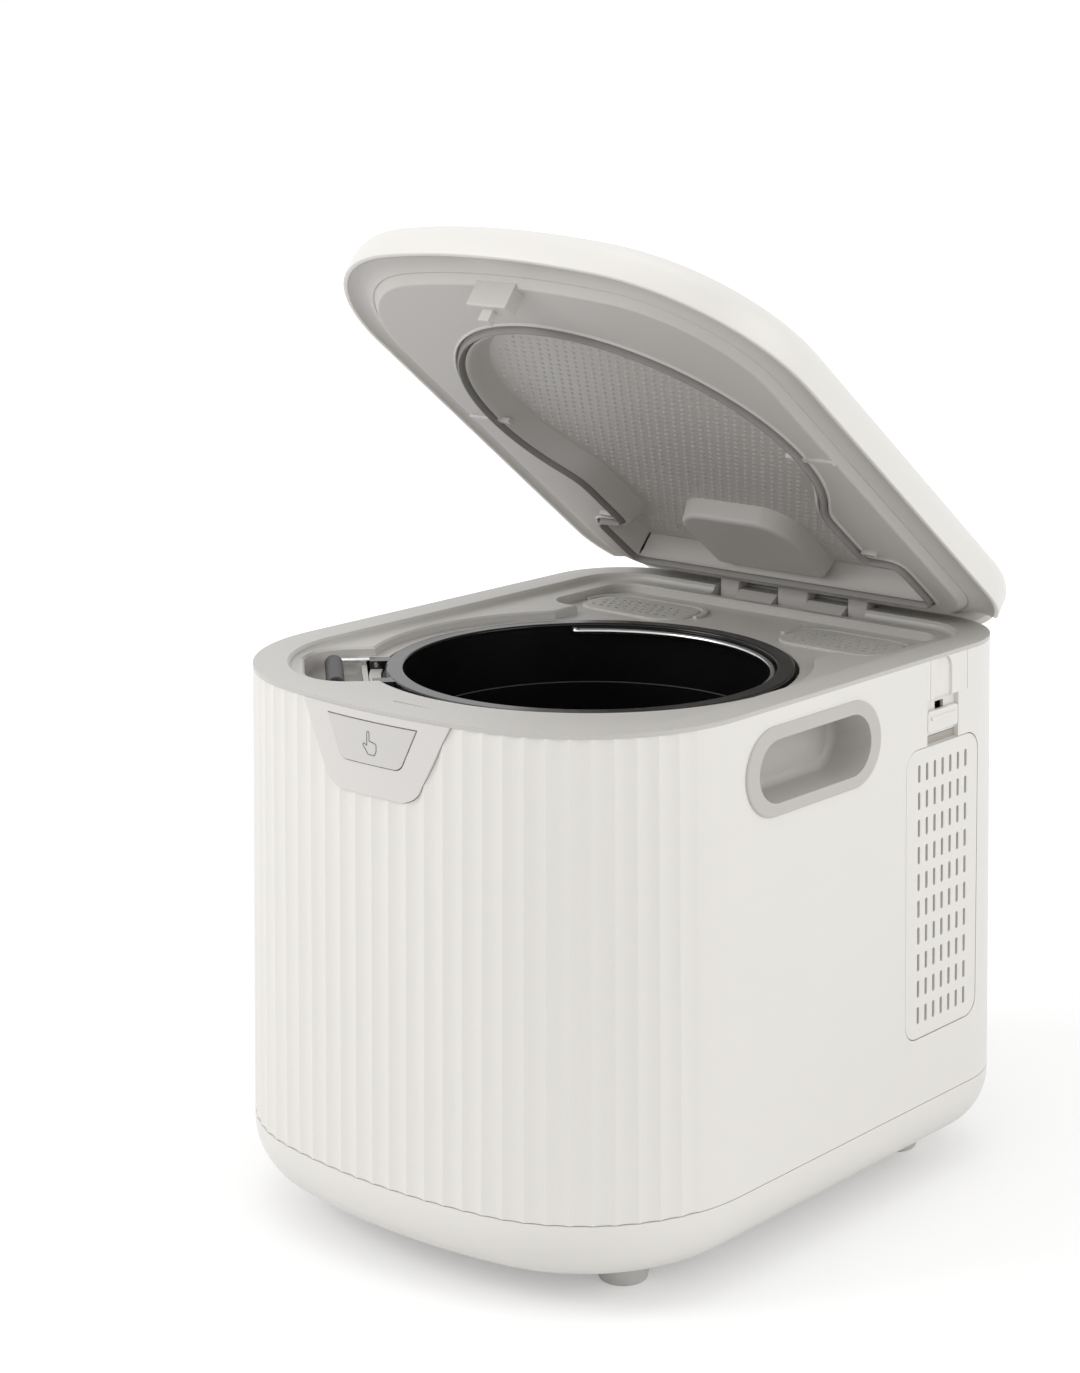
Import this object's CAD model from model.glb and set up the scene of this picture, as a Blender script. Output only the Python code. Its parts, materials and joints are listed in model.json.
# %% [markdown]
# # An electric food waste composter
# A fluted body stands on a rounded tray. Under its hinged lid a black bucket hangs in a grey
# deck, and a filter drawer slides into the right side. The solid model arrives as a frame of
# named pieces in metres; here each visible piece gets its finished surface and its material.

# %% Load the frame
import json
import math
import bmesh
import bpy
import numpy as np
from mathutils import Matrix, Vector


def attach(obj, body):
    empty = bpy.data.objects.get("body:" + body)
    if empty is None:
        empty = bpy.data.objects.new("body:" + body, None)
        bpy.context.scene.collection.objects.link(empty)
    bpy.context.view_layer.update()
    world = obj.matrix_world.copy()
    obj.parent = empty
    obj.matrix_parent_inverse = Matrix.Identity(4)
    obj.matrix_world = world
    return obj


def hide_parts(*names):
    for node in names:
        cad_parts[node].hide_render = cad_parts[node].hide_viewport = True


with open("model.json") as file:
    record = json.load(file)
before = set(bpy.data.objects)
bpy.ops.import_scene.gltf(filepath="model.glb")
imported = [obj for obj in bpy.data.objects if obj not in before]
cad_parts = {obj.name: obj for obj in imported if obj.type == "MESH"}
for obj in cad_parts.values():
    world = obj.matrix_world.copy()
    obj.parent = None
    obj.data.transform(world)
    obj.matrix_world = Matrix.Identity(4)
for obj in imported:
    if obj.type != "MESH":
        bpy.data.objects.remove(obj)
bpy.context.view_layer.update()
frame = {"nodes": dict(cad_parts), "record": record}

# %% [markdown]
# ## Shader sums as Python sums
# A procedural material is mostly arithmetic on node sockets. A small class wraps a socket, so
# that `0.4 + 0.1 * grain` adds its own Math nodes. Colours and vectors go through other nodes,
# which one method adds: it takes a type, its settings and what goes into its sockets.

# %% Sockets that add up
class Number:
    """A number socket; each operator adds one Math node and wraps its output."""

    def __init__(self, finish, socket):
        self.finish, self.socket = finish, socket

    def math(self, operation, first, second=0.0):
        return self.finish.add("ShaderNodeMath", {"operation": operation}, {0: first, 1: second})

    def __add__(self, other): return self.math("ADD", self, other)
    def __sub__(self, other): return self.math("SUBTRACT", self, other)
    def __mul__(self, other): return self.math("MULTIPLY", self, other)
    def __rsub__(self, other): return self.math("SUBTRACT", other, self)
    def __abs__(self): return self.math("ABSOLUTE", self)
    __radd__, __rmul__ = __add__, __mul__

    def larger(self, other): return self.math("MAXIMUM", self, other)
    def below(self, other): return self.math("LESS_THAN", self, other)


class Finish:
    """A material being made: one Principled shader whose sockets get numbers or links."""

    def __init__(self, name, **fixed):
        self.material = bpy.data.materials.new(name)
        self.material.use_nodes = True
        self.nodes = self.material.node_tree.nodes
        self.shader = self.nodes["Principled BSDF"]
        self.set(**fixed)

    def add(self, kind, settings=None, inputs=None, output=0):
        """Adds a node, sets its properties first, fills its sockets, and returns one output."""
        node = self.nodes.new(kind)
        for key, value in (settings or {}).items():
            setattr(node, key, value)
        for key, value in (inputs or {}).items():
            self.put(node.inputs[key], value)
        return Number(self, node.outputs[output])

    def put(self, socket, value):
        if isinstance(value, Number):
            self.material.node_tree.links.new(value.socket, socket)
        else:
            socket.default_value = value

    def set(self, **values):
        for key, value in values.items():
            self.put(self.shader.inputs[key.replace("_", " ")], value)

    def place(self):
        return self.add("ShaderNodeTexCoord", output="Object")

    def axis(self, k):
        """One coordinate of the place on the object, in metres: 0, 1 or 2 for x, y or z."""
        return self.add("ShaderNodeSeparateXYZ", inputs={0: self.place()}, output=k)

    def noise(self, scale, detail):
        """Fractal noise from 0 to 1, with `scale` features to the metre."""
        sockets = {"Vector": self.place(), "Scale": scale, "Detail": detail, "Roughness": 0.5}
        return self.add("ShaderNodeTexNoise", {"noise_dimensions": "3D"}, sockets)

    def mix(self, amount, first, second):
        """Blend of two colours; amount is a number socket."""
        return self.add("ShaderNodeMix", {"data_type": "RGBA"}, {0: amount, 6: first, 7: second}, 2)

    def bump(self, height, distance):
        """Relief that stands `distance` metres high where `height` is 1."""
        sockets = {"Strength": 1.0, "Distance": distance, "Height": height}
        self.set(Normal=self.add("ShaderNodeBump", {}, sockets))


print("shader helpers ready")

# %% [markdown]
# ## Moulded plastic
# Injection moulds are spark-eroded, which leaves a grain of about a third of a millimetre that
# breaks up reflections. Large parts also cool unevenly, so their sheen and tone drift very
# slightly over a hand's width. Both are noise: fine for the bump, broad for tone and roughness.

# %% A moulded plastic for each colour
TONE_DRIFT, SHEEN_DRIFT = 0.02, 0.06


def shade(colour, factor):
    """The colour times a factor, opaque, and no channel above 1."""
    return tuple(min(c * factor, 1.0) for c in colour[:3]) + (1.0,)


def moulded(name, colour, roughness=0.42, grain=0.00002, grain_scale=2600.0):
    """Plastic: tone drifts by a share of +-TONE_DRIFT and roughness by +-SHEEN_DRIFT with one
    broad noise, and a fine grain stands up by `grain` metres."""
    finish = Finish(name, IOR=1.49)
    broad = finish.noise(9.0, 3.0)
    dark, pale = shade(colour, 1 - TONE_DRIFT), shade(colour, 1 + TONE_DRIFT)
    finish.set(Base_Color=finish.mix(broad, dark, pale))
    finish.set(Roughness=roughness - SHEEN_DRIFT + 2 * SHEEN_DRIFT * broad)
    finish.bump(finish.noise(grain_scale, 1.0), grain)
    return finish.material


WARM_WHITE = (0.800, 0.780, 0.745)
LIGHT_GREY = (0.570, 0.548, 0.525)
shell_plastic = moulded("shell_plastic", WARM_WHITE)
lid_plastic = moulded("lid_plastic", WARM_WHITE, roughness=0.36, grain=0.00001)
deck_plastic = moulded("deck_plastic", (0.560, 0.545, 0.520), roughness=0.40)
liner_plastic = moulded("liner_plastic", LIGHT_GREY, roughness=0.45)
apron_plastic = moulded("apron_plastic", (0.700, 0.680, 0.660), roughness=0.40)
button_plastic = moulded("button_plastic", (0.640, 0.622, 0.602), roughness=0.38)
cavity_plastic = moulded("cavity_plastic", (0.540, 0.520, 0.490), roughness=0.44)
sleeve_plastic = moulded("sleeve_plastic", (0.420, 0.395, 0.350), roughness=0.55)
dark_plastic = moulded("dark_plastic", (0.035, 0.035, 0.037), roughness=0.5)
guide_plastic = moulded("guide_plastic", (0.12, 0.12, 0.12), roughness=0.5)
foot_rubber = moulded("foot_rubber", (0.60, 0.59, 0.57), roughness=0.62, grain=0.00003)
seal_rubber = moulded("seal_rubber", (0.02, 0.02, 0.02), roughness=0.6)
gasket_rubber = moulded("gasket_rubber", (0.26, 0.250, 0.240), roughness=0.55)
print("plastics and rubbers", len(bpy.data.materials))

# %% [markdown]
# ## Metals and the rest
# Bare metal is finely scratched, which varies its sheen. The bucket's coat is sprayed, so it is
# black and glossy with a faint orange peel, and a fill line 0.6 mm wide is printed inside it.

# %% Metals, coats, board and filter
SCRATCH_SHEEN, SCRATCH_DEPTH = 0.08, 0.00001
PEEL_SCALE, PEEL_DEPTH = 240.0, 0.00002
FILL_LINE_Z, FILL_LINE_HALF, FILL_LINE_GREY = 0.2285, 0.0003, (0.10, 0.10, 0.10, 1.0)


def metal(name, colour, roughness, scratch=400.0):
    """Bright metal whose roughness varies by +-SCRATCH_SHEEN with fine scratches."""
    finish = Finish(name, Metallic=1.0)
    fine = finish.noise(scratch, 4.0)
    finish.set(Base_Color=finish.mix(fine, shade(colour, 0.93), shade(colour, 1.05)))
    finish.set(Roughness=roughness - SCRATCH_SHEEN + 2 * SCRATCH_SHEEN * fine)
    finish.bump(fine, SCRATCH_DEPTH)
    return finish.material


def coat(name, colour, roughness, line=None):
    """Sprayed coat: the peel is a low, broad noise that bends reflections. Where the height is
    within FILL_LINE_HALF of `line`, the coat is paler."""
    finish = Finish(name, IOR=1.45)
    peel = finish.noise(PEEL_SCALE, 2.0)
    tone = finish.mix(peel, shade(colour, 0.8), shade(colour, 1.3))
    if line:
        printed = abs(finish.axis(2) - line).below(FILL_LINE_HALF)
        tone = finish.mix(printed, tone, FILL_LINE_GREY)
    finish.set(Base_Color=tone)
    finish.set(Roughness=roughness + 0.06 * finish.noise(30.0, 3.0))
    finish.bump(peel, PEEL_DEPTH)
    return finish.material


wire_steel = metal("wire_steel", (0.72, 0.72, 0.73), 0.2)
plain_steel = metal("plain_steel", (0.55, 0.55, 0.56), 0.38)
bronze = metal("bronze", (0.55, 0.36, 0.17), 0.4)
bare_aluminium = metal("bare_aluminium", (0.75, 0.75, 0.76), 0.34)
heater_foil = metal("heater_foil", (0.62, 0.58, 0.52), 0.42, 90.0)
pot_coat = coat("pot_coat", (0.005, 0.005, 0.005), 0.22, line=FILL_LINE_Z)
arm_coat = coat("arm_coat", (0.006, 0.006, 0.006), 0.25)
collar_gloss = coat("collar_gloss", (0.006, 0.006, 0.006), 0.14)
grip_rubber = moulded("grip_rubber", (0.030, 0.030, 0.031), roughness=0.45)
board_green = coat("board_green", (0.02, 0.16, 0.06), 0.3)
carbon_black = moulded("carbon_black", (0.012, 0.012, 0.012), roughness=0.9,
                       grain=0.0004, grain_scale=500.0)
print("all finishes", len(bpy.data.materials))

# %% [markdown]
# ## Finished copies of the solids
# A solid arrives as loose triangles, which would be lit flat, facet by facet. A copy with its
# corners merged can be lit smoothly: edges sharper than 30 degrees stay crisp, and the weighted
# normals let large flat faces win over the narrow rounds beside them.

# %% Copy a node, merge it and light it smoothly
BODY_OF = {node: body for body, nodes in frame["record"]["behaviour"]["bodies"].items()
           for node in nodes}
SLOT_OF = {item["node"]: item["material_slot"] for item in frame["record"]["subparts"]}
CREASE = math.radians(30)
SOLID_WELD = 0.000002                             # corners of a solid nearer than this are one, in m


def settle(piece, body, slot, material, *nodes):
    """Puts a finished piece into the scene, on its body, in place of the nodes it stands for."""
    bpy.context.scene.collection.objects.link(piece)
    piece.data.materials.clear()
    piece.data.materials.append(material)
    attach(piece, body)
    if nodes:
        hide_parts(*nodes)


def smoothed(node, material):
    """Puts a merged copy in a node's place, smooth but for edges sharper than CREASE."""
    mesh = frame["nodes"][node].data.copy()
    shape = bmesh.new()
    shape.from_mesh(mesh)
    bmesh.ops.remove_doubles(shape, verts=shape.verts, dist=SOLID_WELD)
    for edge in shape.edges:
        edge.smooth = edge.is_manifold and edge.calc_face_angle(math.pi) < CREASE
    shape.to_mesh(mesh)
    shape.free()
    mesh.polygons.foreach_set("use_smooth", np.ones(len(mesh.polygons), bool))
    piece = bpy.data.objects.new(node + "_skin", mesh)
    weighted = piece.modifiers.new("weighted", "WEIGHTED_NORMAL")
    weighted.keep_sharp = True
    settle(piece, BODY_OF[node], SLOT_OF[node], material, node)


FINISH_OF = {
    "body_shell": shell_plastic, "base_tray": shell_plastic, "filter_door": shell_plastic,
    "filter_latch": shell_plastic, "latch_plate": shell_plastic, "lid_latch": liner_plastic,
    "deck": deck_plastic, "vent_cover_left": deck_plastic, "vent_cover_right": deck_plastic,
    "front_apron": apron_plastic, "release_button": button_plastic, "button_guide": guide_plastic,
    "hand_hold_left": cavity_plastic, "hand_hold_right": cavity_plastic, "filter_frame": dark_plastic,
    "filter_sleeve": sleeve_plastic, "carbon_filter": carbon_black, "fan_frame": dark_plastic,
    "fan_rotor": dark_plastic, "bucket_pot": pot_coat, "bucket_collar": collar_gloss,
    "bucket_bush": bronze, "bail": wire_steel, "tilt_handle": wire_steel, "grip_roller": grip_rubber,
    "agitator": arm_coat, "pot_housing": bare_aluminium, "pot_seal": seal_rubber,
    "heater_band": heater_foil, "drive_bridge": plain_steel, "bridge_posts": plain_steel,
    "gear_case": dark_plastic, "motor_can": plain_steel, "drive_bearing": bronze,
    "drive_shaft": plain_steel, "control_board": board_green, "board_stand": guide_plastic,
    "power_inlet": dark_plastic, "base_screws": plain_steel, "hinge_pin": plain_steel,
    "foot_front_left": foot_rubber, "foot_front_right": foot_rubber,
    "foot_rear_left": foot_rubber, "foot_rear_right": foot_rubber,
}
for node, material in FINISH_OF.items():
    smoothed(node, material)
print("finished copies", len(FINISH_OF))

# %% [markdown]
# ## Surfaces as grids of points
# The lid is one smooth moulding, so it is worked out rather than copied. Its plan is a bowed
# front, rounded corners and straight sides; stacking that plan at many heights, each with its own
# inset, gives a grid of points, and neighbours in the grid become faces.

# %% Grids become closed meshes
MM = 0.001
WELD = 0.002                                      # points of a grid nearer than this are one, in mm


def quads(rows, columns, first=0, ring=False):
    """Numbers of the four corners of each face of a grid whose columns close on themselves."""
    number = np.arange(first, first + rows * columns).reshape(rows, columns)
    low, high = (number, np.roll(number, -1, axis=0)) if ring else (number[:-1], number[1:])
    corners = [low, np.roll(low, -1, axis=1), np.roll(high, -1, axis=1), high]
    return np.stack(corners, axis=-1).reshape(-1, 4)


def finished(name, points, faces, turn=None):
    """A mesh piece from points in millimetres: doubles merged, open loops at one height filled with
    triangles, faces turned outwards, smooth but for edges sharper than CREASE. `turn` moves the
    points once the loops are filled."""
    mesh = bpy.data.meshes.new(name)
    mesh.from_pydata(points.reshape(-1, 3).tolist(), [], faces)
    shape = bmesh.new()
    shape.from_mesh(mesh)
    bmesh.ops.remove_doubles(shape, verts=shape.verts, dist=WELD)
    loose = [edge for edge in shape.edges if edge.is_boundary]
    for level in {round(edge.verts[0].co.z) for edge in loose}:
        rim = [edge for edge in loose if round(edge.verts[0].co.z) == level]
        bmesh.ops.triangle_fill(shape, use_beauty=True, edges=rim)
    bmesh.ops.recalc_face_normals(shape, faces=shape.faces)
    shape.to_mesh(mesh)
    shape.free()
    place = np.empty(3 * len(mesh.vertices))
    mesh.vertices.foreach_get("co", place)
    place = place.reshape(-1, 3)
    mesh.vertices.foreach_set("co", ((turn(place) if turn else place) * MM).ravel())
    mesh.polygons.foreach_set("use_smooth", np.ones(len(mesh.polygons), bool))
    mesh.set_sharp_from_angle(angle=CREASE)
    mesh.update()
    return bpy.data.objects.new(name, mesh)


def skin(name, points, ring=False, turn=None):
    """Closed piece over points[row, column]: the rows end in flat caps, or meet in a ring."""
    rows, columns = points.shape[:2]
    faces = quads(rows, columns, ring=ring).tolist()
    if not ring:
        faces += [list(range(columns)), list(range((rows - 1) * columns, rows * columns))]
    return finished(name, points, faces, turn)


# %% The body's plan
WIDTH, DEPTH, BOW, FRONT_CORNER, REAR_CORNER = 270.0, 329.0, 318.0, 90.0, 48.0
MIDDLE_Y = -2.86                                  # middle of the body in the frame
BOW_TURN = math.asin((WIDTH / 2 - FRONT_CORNER) / (BOW - FRONT_CORNER))
BOW_Y = BOW - DEPTH / 2
CORNER_Y = BOW_Y - (BOW - FRONT_CORNER) * math.cos(BOW_TURN)


def arc(x, y, radius, start, end, steps):
    """Points x + radius cos a, y + radius sin a, with a from start to just before end."""
    turn = np.linspace(start, end, steps, endpoint=False)
    return np.stack([x + radius * np.cos(turn), y + radius * np.sin(turn)], axis=-1)


def straight(start, end, steps):
    """Points from start to just before end, evenly spaced."""
    share = np.linspace(0, 1, steps, endpoint=False)[:, None]
    return np.array(start) * (1 - share) + np.array(end) * share


def plan(inset):
    """The plan moved in by `inset`: right side, rear, left side, and the front's corners and bow,
    counter-clockwise."""
    side, back = WIDTH / 2 - inset, DEPTH / 2 - inset
    corner = max(REAR_CORNER - inset, 1.0)
    near, quarter = WIDTH / 2 - FRONT_CORNER, math.pi / 2
    parts = [
        straight((side, CORNER_Y), (side, back - corner), 24),
        arc(side - corner, back - corner, corner, 0, quarter, 24),
        straight((side - corner, back), (corner - side, back), 24),
        arc(corner - side, back - corner, corner, quarter, 2 * quarter, 24),
        straight((-side, back - corner), (-side, CORNER_Y), 24),
        arc(-near, CORNER_Y, FRONT_CORNER - inset, 2 * quarter, 3 * quarter - BOW_TURN, 40),
        arc(0, BOW_Y, BOW - inset, 3 * quarter - BOW_TURN, 3 * quarter + BOW_TURN, 40),
        arc(near, CORNER_Y, FRONT_CORNER - inset, 3 * quarter + BOW_TURN, 4 * quarter, 40),
    ]
    return np.concatenate(parts) + (0, MIDDLE_Y)


def stack(profile):
    """Grid of points: for each (inset, height) of the profile, the plan there."""
    return np.stack([np.insert(plan(inset), 2, height, axis=1) for inset, height in profile])


def bend(inset, height, radius, start, end, steps=8):
    """Part of a circle as a profile: (inset + radius cos a, height + radius sin a), degrees."""
    turn = np.radians(np.linspace(start, end, steps))
    return list(zip(inset + radius * np.cos(turn), height + radius * np.sin(turn)))


print("points in the plan", len(plan(0)))

# %% Turning the lid to where it rests
HINGE_Y, HINGE_Z, LID_OPEN = 148.14, 258.9, math.radians(37.85)
HINGE_ROOM = 11.5                                 # the lid's outside keeps this far from the hinge line


def opened(points):
    """Turns closed-lid points about the hinge: (y, z) by the lid's angle, front upwards."""
    y, z = points[..., 1] - HINGE_Y, points[..., 2] - HINGE_Z
    turned = points.copy()
    turned[..., 1] = HINGE_Y + y * math.cos(LID_OPEN) + z * math.sin(LID_OPEN)
    turned[..., 2] = HINGE_Z - y * math.sin(LID_OPEN) + z * math.cos(LID_OPEN)
    return turned


def clear_of_hinge(points):
    """Moves points nearer to the hinge line than HINGE_ROOM straight out to that distance."""
    y, z = points[..., 1] - HINGE_Y, points[..., 2] - HINGE_Z
    away = np.hypot(y, z)
    grow = np.maximum(away, HINGE_ROOM) / np.maximum(away, 0.001)
    moved = points.copy()
    moved[..., 1], moved[..., 2] = HINGE_Y + y * grow, HINGE_Z + z * grow
    return moved


# %% [markdown]
# ## The lid's outer shell
# A shallow tray turned over: a 2.5 mm wall, a 10 mm round over the top edge, and a fine soft lip
# at the bottom where the wall meets the body.

# %% Lid shell
LID_INSET, LID_EDGE, LID_TOP, LID_WALL, LID_ROUND = 4.8, 266.4, 285.6, 2.5, 10.0
LID_LIP = 0.7                                     # radius of the soft lip
LID_CAP = 40.0                                    # the flat caps start this far inside the edge


def lid_shell():
    """From the middle of the ceiling out to the wall, down, round the lip, up and over the top."""
    inner, ceiling, hollow = LID_INSET + LID_WALL, LID_TOP - LID_WALL, LID_ROUND - LID_WALL
    profile = [(inner + LID_CAP, ceiling), (inner + 14, ceiling)]
    profile += bend(inner + hollow, ceiling - hollow, hollow, 90, 180)
    profile += bend(inner - LID_LIP, LID_EDGE + LID_LIP, LID_LIP, 0, -90, 5)
    profile += bend(LID_INSET + LID_LIP, LID_EDGE + LID_LIP, LID_LIP, -90, -180, 5)
    profile += bend(LID_INSET + LID_ROUND, LID_TOP - LID_ROUND, LID_ROUND, 180, 90, 14)
    profile += [(LID_INSET + 18, LID_TOP), (LID_INSET + LID_CAP, LID_TOP)]
    return skin("lid_shell_skin", clear_of_hinge(stack(profile)), turn=opened)


settle(lid_shell(), "lid", "lid_white", lid_plastic, "lid_shell")
print("lid wall", LID_WALL, "mm")

# %% [markdown]
# ## A soft loop
# The lid's seal runs round the pot, straightens along both sides and swells into two lobes at the
# rear. Its line is a polygon with an arc, resampled evenly and averaged with a bell-shaped window,
# which rounds every corner; the normal of that line lets any profile be carried along it.

# %% The seal's line
def soft_loop(corners, softness=4.5, count=720):
    """Even points along a closed polygon, averaged over a bell of width `softness` in mm.
    Returns points and unit normals that point outwards for a counter-clockwise polygon."""
    closed = np.vstack([corners, corners[:1]])
    reach = np.insert(np.cumsum(np.hypot(*np.diff(closed, axis=0).T)), 0, 0.0)
    along = np.linspace(0, reach[-1], count, endpoint=False)
    even = np.stack([np.interp(along, reach, closed[:, k]) for k in (0, 1)], axis=-1)
    away = np.minimum(along, reach[-1] - along)
    bell = np.exp(-0.5 * (away / softness) ** 2)
    spread = np.fft.fft(bell / bell.sum())[:, None]
    soft = np.real(np.fft.ifft(np.fft.fft(even, axis=0) * spread, axis=0))
    ahead = np.roll(soft, -1, axis=0) - np.roll(soft, 1, axis=0)
    ahead /= np.linalg.norm(ahead, axis=1)[:, None]
    return soft, np.stack([ahead[:, 1], -ahead[:, 0]], axis=-1)


POT_Y = -13.0
SEAL_RADIUS, SEAL_TURN = 93.0, 34.0
NECK_X, NECK_FRONT, NECK_REAR, LOBE_X, LOBE_REAR = 75.0, 46.0, 88.0, 94.0, 129.0
turn = np.radians(np.linspace(-180 - SEAL_TURN, SEAL_TURN, 140))
front = np.stack([SEAL_RADIUS * np.cos(turn), POT_Y + SEAL_RADIUS * np.sin(turn)], axis=-1)
right = [(NECK_X, NECK_FRONT), (NECK_X, NECK_REAR), (LOBE_X, NECK_REAR), (LOBE_X, LOBE_REAR)]
left = [(-x, y) for x, y in right[::-1]]
SEAL_LINE, SEAL_NORMAL = soft_loop(np.vstack([front, right, left]))


def room_inside():
    """How far each point of the line may go inwards before it comes nearer to another part of the
    line: the last depth, in half millimetres, that is still the distance to the whole line, less
    0.7 mm, and never under 1 mm."""
    room = np.zeros(len(SEAL_LINE))
    for depth in np.arange(0.5, 16, 0.5):
        spot = SEAL_LINE - depth * SEAL_NORMAL
        gap = np.hypot(*(spot[:, None] - SEAL_LINE[None]).transpose(2, 0, 1)).min(axis=1)
        room = np.where((gap > depth - 0.08) & (room >= depth - 0.5), depth, room)
    return np.maximum(room - 0.7, 1.0)


ROOM = room_inside()


def along_seal(profile):
    """Grid of points: each (offset, height) of the profile carried along the seal's line. A wall
    that has no room at a corner stops early, at the height that the profile has there."""
    offsets, heights = np.array(profile).T
    reach = np.maximum(offsets[:, None], -ROOM[None])
    height = np.broadcast_to(heights[:, None], reach.shape)
    if (np.diff(offsets) <= 0).all():
        height = np.where(reach > offsets[:, None], np.interp(-reach, -offsets, heights), height)
    flat = SEAL_LINE[None] + reach[..., None] * SEAL_NORMAL[None] + (0, MIDDLE_Y)
    return np.concatenate([flat, height[..., None]], axis=-1)


print("seal line", len(SEAL_LINE), "points, least room inside", round(float(ROOM.min()), 1), "mm")

# %% [markdown]
# ## The liner
# Under the lid a grey liner starts as a broad hollow band, rises to a ridge, falls to a flat
# middle, and round the seal it has a channel between two fine ridges. Inside that it sinks into a
# recess with a gentle wall. Outside and inside are two grids; the flat middle and the floor of the
# recess are filled with triangles.

# %% Liner
MIDDLE_Z, CEILING_Z = 263.0, 273.4
LINER_GAP, LINER_PLATE = 0.03, 3.4                # liner to the lid's wall; its thickness on top
BAND_WIDTH, BAND_Z, BAND_HOLLOW = 12.2, 266.85, 2.3


def liner():
    """The band hollows upwards by BAND_HOLLOW sin(pi s ** 0.9), s from 0 at the wall to 1."""
    inner, top = LID_INSET + LID_WALL + LINER_GAP, CEILING_Z + LINER_PLATE
    share = np.linspace(0, 1, 15)
    band = [(inner + 30, top), (inner, top), (inner, 268.0)]
    hollow = BAND_HOLLOW * np.sin(math.pi * share ** 0.9)
    band += list(zip(inner + BAND_WIDTH * share, BAND_Z + hollow))
    band += bend(inner + 12.9, 267.5, 0.95, -120, -45, 4)
    band += bend(25.2, MIDDLE_Z + 1.6, 1.7, 200, 270, 6) + [(27.0, MIDDLE_Z)]
    outer = clear_of_hinge(stack(band))
    ridge = [(3.9, 262.95), (3.4, 262.35), (2.9, 262.1), (2.45, 262.35), (2.25, 263.0),
             (2.15, 265.0)]
    mirrored = [(-offset, z) for offset, z in ridge[:1:-1]]
    wall = [(-3.4, 262.35), (-4.0, 262.9), (-5.2, 264.6), (-7.0, 268.4), (-8.8, 271.4),
            (-10.6, 273.0), (-12.6, CEILING_Z)]
    inside = along_seal([(5.0, MIDDLE_Z)] + ridge + mirrored + wall)
    points = np.vstack([outer.reshape(-1, 3), inside.reshape(-1, 3)])
    faces = quads(*outer.shape[:2]).tolist()
    faces += quads(*inside.shape[:2], first=outer[..., 0].size).tolist()
    faces.append(list(range(outer.shape[1])))
    return finished("lid_liner_skin", points, faces, turn=opened)


settle(liner(), "lid", "liner_grey", liner_plastic, "lid_liner")

# %% [markdown]
# ## The seal
# A soft lip stands on a broader foot in the channel. Its section is carried once round the loop.

# %% Seal
def seal():
    """The section's outer half from the foot down to the lip, then the same mirrored."""
    half = [(1.95, 264.9), (1.95, 263.3), (1.1, 262.5), (0.85, 260.6), (0.35, 259.7)]
    section = half + [(-offset, height) for offset, height in half[::-1]]
    return skin("lid_seal_skin", along_seal(section), ring=True, turn=opened)


settle(seal(), "lid", "gasket_grey", gasket_rubber, "lid_gasket")

# %% [markdown]
# ## The relief panel
# The floor of the recess is a plate covered with small domes. Their centres lie in rows 4.5 mm
# apart, every second row moved by half a step, and only those whose dome clears the edge are kept.

# %% Panel and its domes
PANEL_Z, DOME_PITCH, DOME_RADIUS, DOME_HEIGHT = 272.7, 5.2, 1.5, 0.45
DOME_EDGE = 14.5                                  # from a dome's middle to the seal's line, at least


def dome_places():
    """Rows of centres over the lid; a centre stays if it is inside the seal's line, which an odd
    number of crossings to its right shows, and farther than DOME_EDGE from it."""
    rows = np.arange(-110, 126, 0.866 * DOME_PITCH)
    shift = 0.5 * DOME_PITCH * (np.arange(len(rows)) % 2)
    x = np.arange(-100, 100, DOME_PITCH)[None] + shift[:, None]
    spots = np.stack([x, np.repeat(rows[:, None], x.shape[1], axis=1)], axis=-1).reshape(-1, 2)
    start, end = SEAL_LINE, np.roll(SEAL_LINE, -1, axis=0)
    y = spots[:, 1:2]
    spans = (start[:, 1] > y) != (end[:, 1] > y)
    slope = (end[:, 0] - start[:, 0]) / (end[:, 1] - start[:, 1] + 1e-9)
    crosses = spans & (start[:, 0] + (y - start[:, 1]) * slope > spots[:, 0:1])
    away = np.hypot(*(spots[:, None] - SEAL_LINE[None]).transpose(2, 0, 1)).min(axis=1)
    return spots[(crosses.sum(axis=1) % 2 == 1) & (away > DOME_EDGE)]


def domes(spots, sides=8):
    """Points and faces of closed caps, one to a spot: three rings and a point below them."""
    turn = np.linspace(0, 2 * math.pi, sides, endpoint=False)
    radii = DOME_RADIUS * np.array([1.0, 0.98, 0.62])
    heights = np.array([0.3, 0.0, -0.8 * DOME_HEIGHT]) + PANEL_Z
    x, y = radii[:, None] * np.cos(turn), radii[:, None] * np.sin(turn)
    ring = np.stack(np.broadcast_arrays(x, y, heights[:, None]), axis=-1)
    cap = np.vstack([ring.reshape(-1, 3), [(0, 0, PANEL_Z - DOME_HEIGHT)]])
    points = cap[None] + np.insert(spots + (0, MIDDLE_Y), 2, 0, axis=1)[:, None]
    number = np.arange(sides)
    walls = quads(3, sides)
    lowest, tip = 2 * sides + number, np.full(sides, 3 * sides)
    tips = np.stack([lowest, np.roll(lowest, -1), tip], axis=-1)
    first = len(cap) * np.arange(len(spots))[:, None, None]
    faces = (walls[None] + first).reshape(-1, 4).tolist()
    faces += (tips[None] + first).reshape(-1, 3).tolist()
    return points.reshape(-1, 3), faces + (number[None] + first[:, 0]).tolist()


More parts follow.
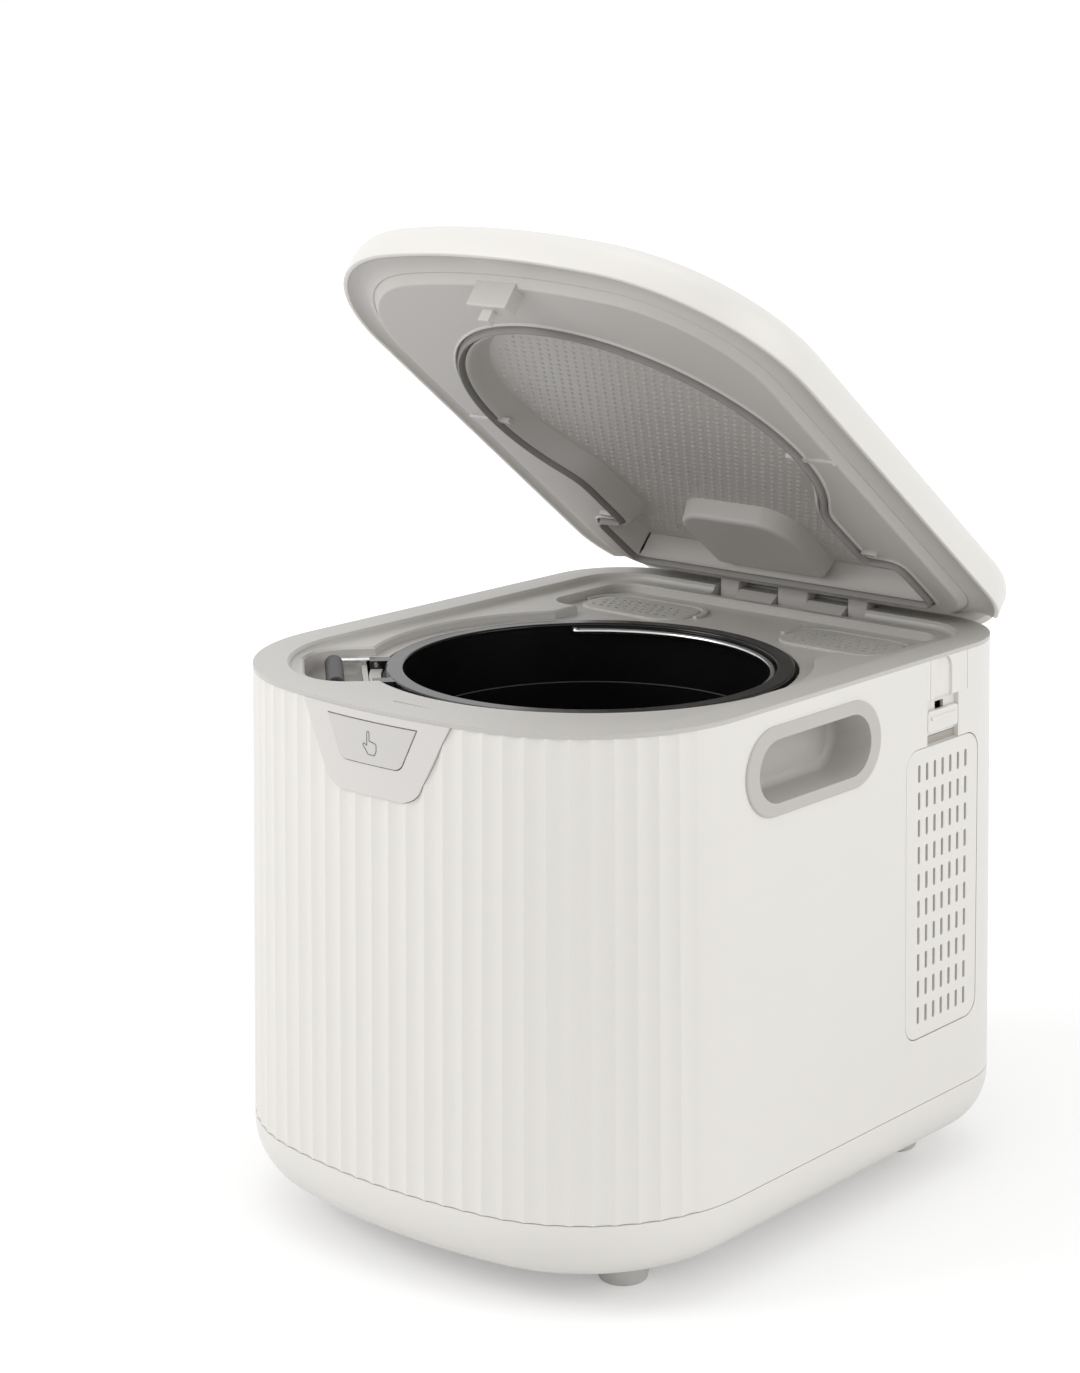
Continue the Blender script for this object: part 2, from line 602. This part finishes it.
def panel(spots):
    """The plate, closed above and below, and one dome at each spot."""
    rows = along_seal([(-9.6, 273.2), (-9.8, PANEL_Z + 0.2), (-10.4, PANEL_Z)])
    points, faces = domes(spots)
    plate = rows.reshape(-1, 3)
    last = (len(rows) - 1) * rows.shape[1]
    whole = quads(*rows.shape[:2]).tolist()
    whole += [list(range(rows.shape[1])), list(range(last, len(plate)))]
    whole += [[corner + len(plate) for corner in face] for face in faces]
    return finished("lid_panel_skin", np.vstack([plate, points]), whole, turn=opened)


panel_plastic = moulded("panel_plastic", shade(LIGHT_GREY, 0.98))
places = dome_places()
settle(panel(places), "lid", "panel_grey", panel_plastic, "lid_panel")
print("domes", len(places))

# %% [markdown]
# ## Rounded blocks
# The pocket at the rear of the recess and the small ribs beside the seal are rounded rectangles
# stacked in height, each a little smaller, so that all their edges are soft.

# %% Pocket and ribs in the lid
def rounded(x0, x1, y0, y1, corners, inset=0.0, steps=10):
    """Rounded rectangle moved in by inset; corners gives the radii from the far right corner on,
    counter-clockwise."""
    x0, x1, y0, y1 = x0 + inset, x1 - inset, y0 + inset, y1 - inset
    radii = np.maximum(np.array(corners, float) - inset, 0.2)
    spots = ((x1, y1, -1, -1, 0), (x0, y1, 1, -1, 90), (x0, y0, 1, 1, 180), (x1, y0, -1, 1, 270))
    turn = math.radians(90 * steps / (steps - 1))
    return np.concatenate([
        arc(x + sx * r, y + sy * r, r, math.radians(a), math.radians(a) + turn, steps)
        for (x, y, sx, sy, a), r in zip(spots, radii)])


def block(name, across, deep, high, corners, soft, flare):
    """Block over x, y and z spans, its sides drawn in by `flare` on the way down and its low edge
    rounded by `soft`."""
    low, top = high
    turn = np.linspace(0, math.pi / 2, 7)
    rows = [(0.0, top)]
    rows += [(flare + soft * (1 - math.cos(t)), low + soft * (1 - math.sin(t))) for t in turn]
    rows.append((flare + soft + 1.0, low))
    points = [np.insert(rounded(*across, *deep, corners, inset) + (0, MIDDLE_Y), 2, z, axis=1)
              for inset, z in rows]
    return skin(name, np.stack(points), turn=opened)


pocket = block("lid_pocket_skin", (-36, 36), (67, 122), (262.6, 273.3), (6, 6, 19, 19), 2.6, 1.6)
settle(pocket, "lid", "liner_grey", liner_plastic, "lid_pocket")
RIB = ((84.0, 111.0), (-12.2, -7.8), (261.8, 263.6), 4 * (0.6,), 0.9, 0.3)
CLIP = ((77.8, 86.0), (78.0, 81.0), (260.8, 263.6), 4 * (0.5,), 0.7, 0.2)
for side, way in (("left", -1), ("right", 1)):
    for kind, (across, *rest) in (("rib", RIB), ("clip", CLIP)):
        piece = block(f"{kind}_{side}", sorted(way * x for x in across), *rest)
        settle(piece, "lid", "liner_grey", liner_plastic)
print("pocket, ribs and clips")

# %% [markdown]
# ## Knuckles
# Three arms reach from the liner down to barrels on the hinge pin. Seen from the side an arm is
# the outline round two circles, a large one on the pin and a smaller one inside the lid.

# %% Knuckles of the lid
def two_circles(r1, r2, y2, z2, steps=24):
    """Outline round a circle r1 at the origin and r2 at (y2, z2): half of each, joined."""
    lean = math.atan2(z2, y2)
    tilt = math.acos((r1 - r2) / math.hypot(y2, z2))
    far = np.linspace(lean - tilt, lean + tilt, steps)
    near = np.linspace(lean + tilt, lean - tilt + 2 * math.pi, steps)
    small = np.stack([y2 + r2 * np.cos(far), z2 + r2 * np.sin(far)], axis=-1)
    large = np.stack([r1 * np.cos(near), r1 * np.sin(near)], axis=-1)
    return np.vstack([small, large]) + (HINGE_Y, HINGE_Z)


BARREL, ARM_END, ARM_REACH, KNUCKLE_SOFT = 5.0, 2.4, (-9.8, 9.3), 0.6
KNUCKLES = {"left": (-46.5, -34.5), "middle": (-9.5, 9.5), "right": (34.5, 46.5)}


def knuckle(name, x0, x1):
    """The outline at six places across, a little smaller at both ends."""
    near = [(0.0, KNUCKLE_SOFT), (0.2, 0.25), (KNUCKLE_SOFT, 0.0)]
    rows = [(x0 + step, inset) for step, inset in near]
    rows += [(x1 - step, inset) for step, inset in near[::-1]]
    points = [np.insert(two_circles(BARREL - inset, ARM_END - inset, *ARM_REACH), 0, x, axis=1)
              for x, inset in rows]
    return skin(name, np.stack(points), turn=opened)


for place, ends in KNUCKLES.items():
    settle(knuckle(f"knuckle_{place}", *ends), "lid", "liner_grey", liner_plastic)
print("lid pieces made")

# %% [markdown]
# ## The sign on the button
# A plain drawing of a pressing finger stands out of the button by a fifth of a millimetre. It is
# one soft loop, like the seal's, with a round section carried along it; the button's face bows
# with the body and leans a little, and the loop follows it.

# %% Finger sign
SIGN_PLACE, SIGN_RADIUS = (0.0, 249.6), 0.2
HAND = [(-1.6, -1.2), (-1.6, 4.4), (-1.3, 5.3), (-0.5, 5.3), (-0.2, 4.4), (-0.2, 0.7), (0.5, 1.2),
        (1.2, 0.5), (1.9, 0.9), (2.6, 0.2), (3.3, 0.5), (4.0, -0.3), (4.0, -3.0), (3.0, -5.0),
        (-0.8, -5.0), (-2.4, -3.0), (-4.1, -1.0), (-3.6, -0.2), (-2.8, -0.5)]
FACE_Y, FACE_Z, FACE_BOW, FACE_LEAN = -163.98, 250.0, 624.0, 0.022


def button_face(x, z):
    """The button's face along y: FACE_Y in the middle at FACE_Z, back by x squared / FACE_BOW as
    the front bows, and back by FACE_LEAN for each mm up."""
    return FACE_Y + x * x / FACE_BOW + FACE_LEAN * (z - FACE_Z)


def finger_sign():
    """A tube round the hand's outline: at turn t it stands radius cos t beside the line and
    radius sin t out of the button's face."""
    line, normal = soft_loop(HAND[::-1], 0.22, 420)
    turn = np.linspace(0, 2 * math.pi, 8, endpoint=False)[:, None]
    x = SIGN_PLACE[0] + line[:, 0] + SIGN_RADIUS * np.cos(turn) * normal[:, 0]
    z = SIGN_PLACE[1] + line[:, 1] + SIGN_RADIUS * np.cos(turn) * normal[:, 1]
    y = button_face(x, z) - SIGN_RADIUS * np.sin(turn)
    return skin("button_sign", np.stack([x, y, z], axis=-1), ring=True)


sign_ink = moulded("sign_ink", (0.16, 0.155, 0.15), roughness=0.5)
settle(finger_sign(), "button", SLOT_OF["release_button"], sign_ink)
print("sign radius", SIGN_RADIUS, "mm")

# %% [markdown]
# ## The studio
# A plain pale floor carries the shadow. To the camera and to gloss the world is white, and the
# floor glows a little to them, so that it reads as white paper away from the object; as a light
# the world is gentler, so the pale plastic keeps its tone. Broad lamps stand left and right of
# the object, with a faint one above, and leave its nearest edge a little darker, which shows its
# roundness.

# %% Floor and world
def seen_directly(finish):
    """1 for rays from the camera, from gloss or through glass, else 0."""
    path = finish.nodes.new("ShaderNodeLightPath")
    camera_ray, gloss_ray, glass_ray = (
        Number(finish, path.outputs[f"Is {kind} Ray"]) for kind in ("Camera", "Glossy", "Transmission"))
    return camera_ray.larger(gloss_ray).larger(glass_ray)


def glow_of(paper, near=0.42, close=0.4, far=1.6):
    """How much the paper glows to the camera: `near` of its strength beside the object, all of it
    beyond `far` metres, and a smooth step between."""
    distance = paper.add("ShaderNodeVectorMath", {"operation": "LENGTH"}, {0: paper.place()}, 1)
    steps = {"Value": distance, "From Min": close, "From Max": far, "To Min": near, "To Max": 1.0}
    return paper.add("ShaderNodeMapRange", {"interpolation_type": "SMOOTHSTEP"}, steps)


def floor(reach=40.0, glow=0.62):
    """A square sheet of paper, `reach` metres to each side, that glows to the camera."""
    mesh = bpy.data.meshes.new("floor")
    corners = [(-reach, -reach, 0), (reach, -reach, 0), (reach, reach, 0), (-reach, reach, 0)]
    mesh.from_pydata(corners, [], [(0, 1, 2, 3)])
    piece = bpy.data.objects.new("floor", mesh)
    bpy.context.scene.collection.objects.link(piece)
    paper = Finish("paper", Base_Color=(0.80, 0.80, 0.80, 1.0), Roughness=0.9,
                   Specular_IOR_Level=0.1, Emission_Strength=glow)
    share = seen_directly(paper) * glow_of(paper)
    paper.set(Emission_Color=paper.mix(share, (0, 0, 0, 1), (1, 1, 1, 1)))
    mesh.materials.append(paper.material)


def lit_world(light):
    """White world of strength 1 to the camera and to gloss, and of strength `light` as a lamp."""
    world = bpy.data.worlds.new("studio")
    bpy.context.scene.world = world
    world.use_nodes = True
    nodes, links = world.node_tree.nodes, world.node_tree.links
    path = nodes.new("ShaderNodeLightPath")
    white, soft = nodes["Background"], nodes.new("ShaderNodeBackground")
    for background, strength in ((white, 1.0), (soft, light)):
        background.inputs["Color"].default_value = (1, 1, 1, 1)
        background.inputs["Strength"].default_value = strength
    either, mixer = nodes.new("ShaderNodeMath"), nodes.new("ShaderNodeMixShader")
    either.operation = "MAXIMUM"
    links.new(path.outputs["Is Camera Ray"], either.inputs[0])
    links.new(path.outputs["Is Glossy Ray"], either.inputs[1])
    links.new(either.outputs[0], mixer.inputs[0])
    links.new(soft.outputs[0], mixer.inputs[1])
    links.new(white.outputs[0], mixer.inputs[2])
    links.new(mixer.outputs[0], nodes["World Output"].inputs["Surface"])


floor()
lit_world(0.72)

# %% Lamps
LAMP_SIZE, AIM = 1.2, Vector((0, 0, 0.2))


def lamp(name, place, watts):
    """Square area lamp that looks from `place` at AIM."""
    light = bpy.data.lights.new(name, "AREA")
    light.size, light.energy = LAMP_SIZE, watts
    piece = bpy.data.objects.new(name, light)
    bpy.context.scene.collection.objects.link(piece)
    piece.location = place
    piece.rotation_euler = (AIM - Vector(place)).to_track_quat("-Z", "Y").to_euler()


lamp("left_lamp", (-1.4, -1.7, 1.45), 19)
lamp("right_lamp", (1.9, 0.3, 0.9), 9)
lamp("top_lamp", (0.1, -0.2, 2.0), 5)
scene = bpy.context.scene
scene.view_settings.view_transform = "Standard"
print("lamps", len(bpy.data.lights))

# %% [markdown]
# ## The camera
# A long lens from the front right, a little above the rim: the sides stay nearly parallel.

# %% Camera
AZIMUTH, ELEVATION = math.radians(40.04), math.radians(12.91)
DISTANCE, TARGET = 1.39767, np.array([0.0, -0.00286, 0.265])
PICTURE_WIDTH, PICTURE_HEIGHT, SENSOR = 1080, 1373, 36.0          # pixels, pixels, mm
FOCAL, CENTRE_X, CENTRE_Y = 2949.18, 608.07, 645.44               # pixels
away = np.array([math.sin(AZIMUTH) * math.cos(ELEVATION),
                 -math.cos(AZIMUTH) * math.cos(ELEVATION), math.sin(ELEVATION)])
eye = bpy.data.cameras.new("camera")
eye.sensor_fit, eye.sensor_width = "HORIZONTAL", SENSOR
eye.lens = FOCAL / PICTURE_WIDTH * SENSOR
eye.shift_x = (PICTURE_WIDTH / 2 - CENTRE_X) / PICTURE_WIDTH
eye.shift_y = (CENTRE_Y - PICTURE_HEIGHT / 2) / PICTURE_WIDTH
camera = bpy.data.objects.new("camera", eye)
scene.collection.objects.link(camera)
camera.location = TARGET + DISTANCE * away
camera.rotation_euler = (math.pi / 2 - ELEVATION, 0, AZIMUTH)
scene.camera = camera
print("lens", round(eye.lens, 2), "mm")
